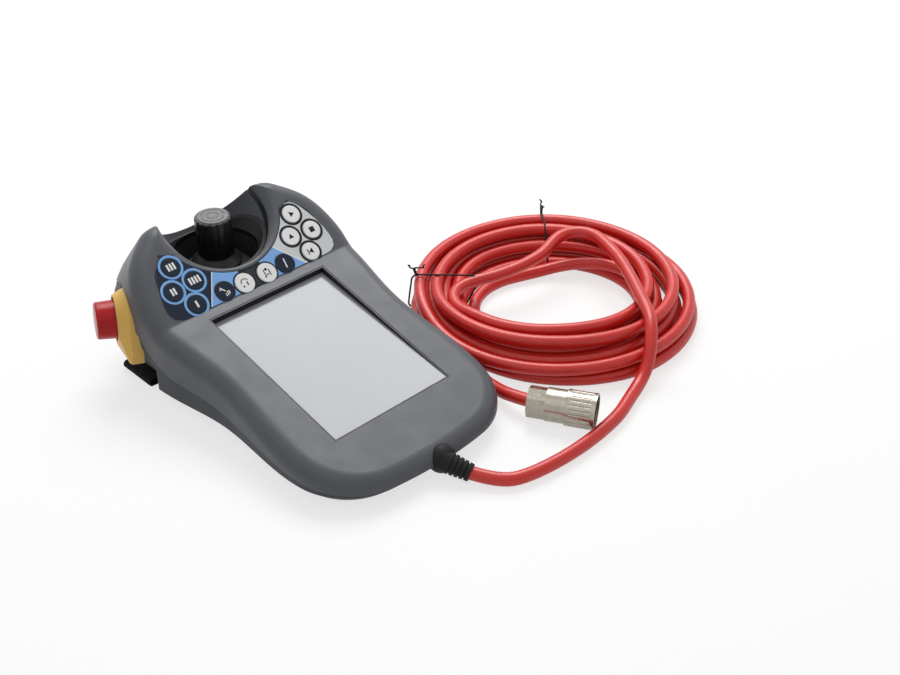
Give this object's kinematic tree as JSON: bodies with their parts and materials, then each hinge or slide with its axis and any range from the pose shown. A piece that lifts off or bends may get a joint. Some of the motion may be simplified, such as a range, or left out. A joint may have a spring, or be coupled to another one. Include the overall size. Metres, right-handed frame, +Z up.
{
  "type": "teach pendant",
  "caption": "Hand-held machine teach pendant: bent moulded housing with touch screen, round keys, three-axis joystick in a scoop, stop button and a coiled cable.",
  "frame": {"origin": "on the flat underside of the rear housing, in the upright plane of symmetry, below the middle of the glass", "axes": "+X to the right as the screen is read, +Y from the cable end towards the joystick end, +Z up with the housing lying on its underside"},
  "size_m": [0.4189, 0.3338, 0.1042],
  "materials": {
    "housing_plastic": "satin moulded, fine spark texture",
    "rear_plastic": "satin moulded",
    "screw_steel": "blackened",
    "bezel_black": "matt",
    "screen_glass": "satin, pale grey display behind",
    "display_metal": "plain",
    "post_brass": "plain",
    "board_green": "solder mask",
    "overlay_film": "fine-textured film, printed",
    "key_dark": "fine-textured film over key",
    "key_pale": "fine-textured film over key",
    "stick_black": "matt",
    "stick_base_black": "matt",
    "gimbal_metal": "machined",
    "shaft_steel": "ground",
    "cap_grey": "satin",
    "collar_yellow": "satin",
    "stop_red": "satin",
    "switch_black": "matt",
    "lever_black": "soft-touch",
    "strap_webbing": "woven",
    "gland_grey": "matt",
    "relief_rubber": "matt",
    "cable_sheath": "satin polyurethane",
    "tie_black": "plastic-coated wire",
    "connector_metal": "nickel, dull",
    "insert_black": "matt",
    "pin_gold": "gold-plated"
  },
  "bodies": {
    "housing": {"board_posts": "post_brass", "cable_gland": "gland_grey", "cable_tie_1": "tie_black", "cable_tie_2": "tie_black", "connector_body": "connector_metal", "connector_insert": "insert_black", "connector_nut": "connector_metal", "connector_pins": "pin_gold", "cord_coil": "cable_sheath", "cord_lead": "cable_sheath", "cord_tail": "cable_sheath", "enable_pin": "screw_steel", "enable_switch": "switch_black", "estop_barrel": "switch_black", "estop_collar": "collar_yellow", "estop_contact_block": "switch_black", "estop_nut": "switch_black", "front_housing": "housing_plastic", "hand_strap": "strap_webbing", "housing_screws": "screw_steel", "joystick_base": "stick_base_black", "joystick_bowl": "stick_black", "keypad_circuit": "board_green", "keypad_overlay": "overlay_film", "lcd_module": "display_metal", "main_board": "board_green", "rear_housing": "rear_plastic", "strain_relief": "relief_rubber", "strap_bars": "shaft_steel", "touch_panel": "screen_glass", "window_bezel": "bezel_black"},
    "gimbal": {"gimbal_ring": "gimbal_metal"},
    "stick": {"joystick_shaft": "shaft_steel", "joystick_skirt": "stick_black"},
    "knob": {"joystick_knob": "stick_black", "joystick_cap": "cap_grey"},
    "stop_stem": {"estop_spindle": "shaft_steel"},
    "stop_head": {"estop_button": "stop_red"},
    "lever": {"enable_lever": "lever_black"},
    "coupling_ring": {"connector_ring": "connector_metal"},
    "key_left_1_body": {"key_left_1": "key_dark"},
    "key_left_2_body": {"key_left_2": "key_dark"},
    "key_left_3_body": {"key_left_3": "key_dark"},
    "key_left_4_body": {"key_left_4": "key_dark"},
    "key_middle_left_1_body": {"key_middle_left_1": "key_dark"},
    "key_middle_left_2_body": {"key_middle_left_2": "key_pale"},
    "key_middle_right_1_body": {"key_middle_right_1": "key_dark"},
    "key_middle_right_2_body": {"key_middle_right_2": "key_pale"},
    "key_right_1_body": {"key_right_1": "key_pale"},
    "key_right_2_body": {"key_right_2": "key_pale"},
    "key_right_3_body": {"key_right_3": "key_pale"},
    "key_right_4_body": {"key_right_4": "key_pale"}
  },
  "joints": [
    {"name": "key_left_1_press", "type": "slide", "parent": "housing", "child": "key_left_1_body", "axis": [0, 0.6455, -0.7638], "range_m": [0, 0.0007], "stiffness_N_per_m": 900},
    {"name": "key_left_2_press", "type": "slide", "parent": "housing", "child": "key_left_2_body", "axis": [0, 0.6455, -0.7638], "range_m": [0, 0.0007], "stiffness_N_per_m": 900},
    {"name": "key_left_3_press", "type": "slide", "parent": "housing", "child": "key_left_3_body", "axis": [0, 0.6455, -0.7638], "range_m": [0, 0.0007], "stiffness_N_per_m": 900},
    {"name": "key_left_4_press", "type": "slide", "parent": "housing", "child": "key_left_4_body", "axis": [0, 0.6455, -0.7638], "range_m": [0, 0.0007], "stiffness_N_per_m": 900},
    {"name": "key_middle_left_1_press", "type": "slide", "parent": "housing", "child": "key_middle_left_1_body", "axis": [0, 0.6455, -0.7638], "range_m": [0, 0.0007], "stiffness_N_per_m": 900},
    {"name": "key_middle_left_2_press", "type": "slide", "parent": "housing", "child": "key_middle_left_2_body", "axis": [0, 0.6455, -0.7638], "range_m": [0, 0.0007], "stiffness_N_per_m": 900},
    {"name": "key_middle_right_1_press", "type": "slide", "parent": "housing", "child": "key_middle_right_1_body", "axis": [0, 0.6455, -0.7638], "range_m": [0, 0.0007], "stiffness_N_per_m": 900},
    {"name": "key_middle_right_2_press", "type": "slide", "parent": "housing", "child": "key_middle_right_2_body", "axis": [0, 0.6455, -0.7638], "range_m": [0, 0.0007], "stiffness_N_per_m": 900},
    {"name": "key_right_1_press", "type": "slide", "parent": "housing", "child": "key_right_1_body", "axis": [0, 0.6455, -0.7638], "range_m": [0, 0.0007], "stiffness_N_per_m": 900},
    {"name": "key_right_2_press", "type": "slide", "parent": "housing", "child": "key_right_2_body", "axis": [0, 0.6455, -0.7638], "range_m": [0, 0.0007], "stiffness_N_per_m": 900},
    {"name": "key_right_3_press", "type": "slide", "parent": "housing", "child": "key_right_3_body", "axis": [0, 0.6455, -0.7638], "range_m": [0, 0.0007], "stiffness_N_per_m": 900},
    {"name": "key_right_4_press", "type": "slide", "parent": "housing", "child": "key_right_4_body", "axis": [0, 0.6455, -0.7638], "range_m": [0, 0.0007], "stiffness_N_per_m": 900},
    {"name": "stick_tilt_x", "type": "hinge", "parent": "housing", "child": "gimbal", "pos_m": [0, 0.1265, 0.044], "axis": [1, 0, 0], "range_deg": [-12, 12], "stiffness_Nm_per_rad": 0.5},
    {"name": "stick_tilt_y", "type": "hinge", "parent": "gimbal", "child": "stick", "pos_m": [0, 0.1265, 0.044], "axis": [0, 1, 0], "range_deg": [-12, 12], "stiffness_Nm_per_rad": 0.5},
    {"name": "stick_twist", "type": "hinge", "parent": "stick", "child": "knob", "pos_m": [0, 0.1265, 0.08], "axis": [0, 0, 1], "range_deg": [-20, 20], "stiffness_Nm_per_rad": 0.15},
    {"name": "stop_push", "type": "slide", "parent": "housing", "child": "stop_stem", "axis": [0.9063, -0.4154, -0.0777], "range_m": [0, 0.004]},
    {"name": "stop_turn", "type": "hinge", "parent": "stop_stem", "child": "stop_head", "pos_m": [-0.0905, 0.12631, 0.04987], "axis": [0.9063, -0.4154, -0.0777], "range_deg": [0, 40], "stiffness_Nm_per_rad": 0.15},
    {"name": "enable_press", "type": "hinge", "parent": "housing", "child": "lever", "pos_m": [0.074, 0.114, 0.042], "axis": [0, 1, 0], "range_deg": [0, 8], "stiffness_Nm_per_rad": 1.2},
    {"name": "coupling_turn", "type": "hinge", "parent": "housing", "child": "coupling_ring", "pos_m": [0.087, -0.11, 0.013], "axis": [0.512, -0.859, 0], "continuous": true}
  ]
}
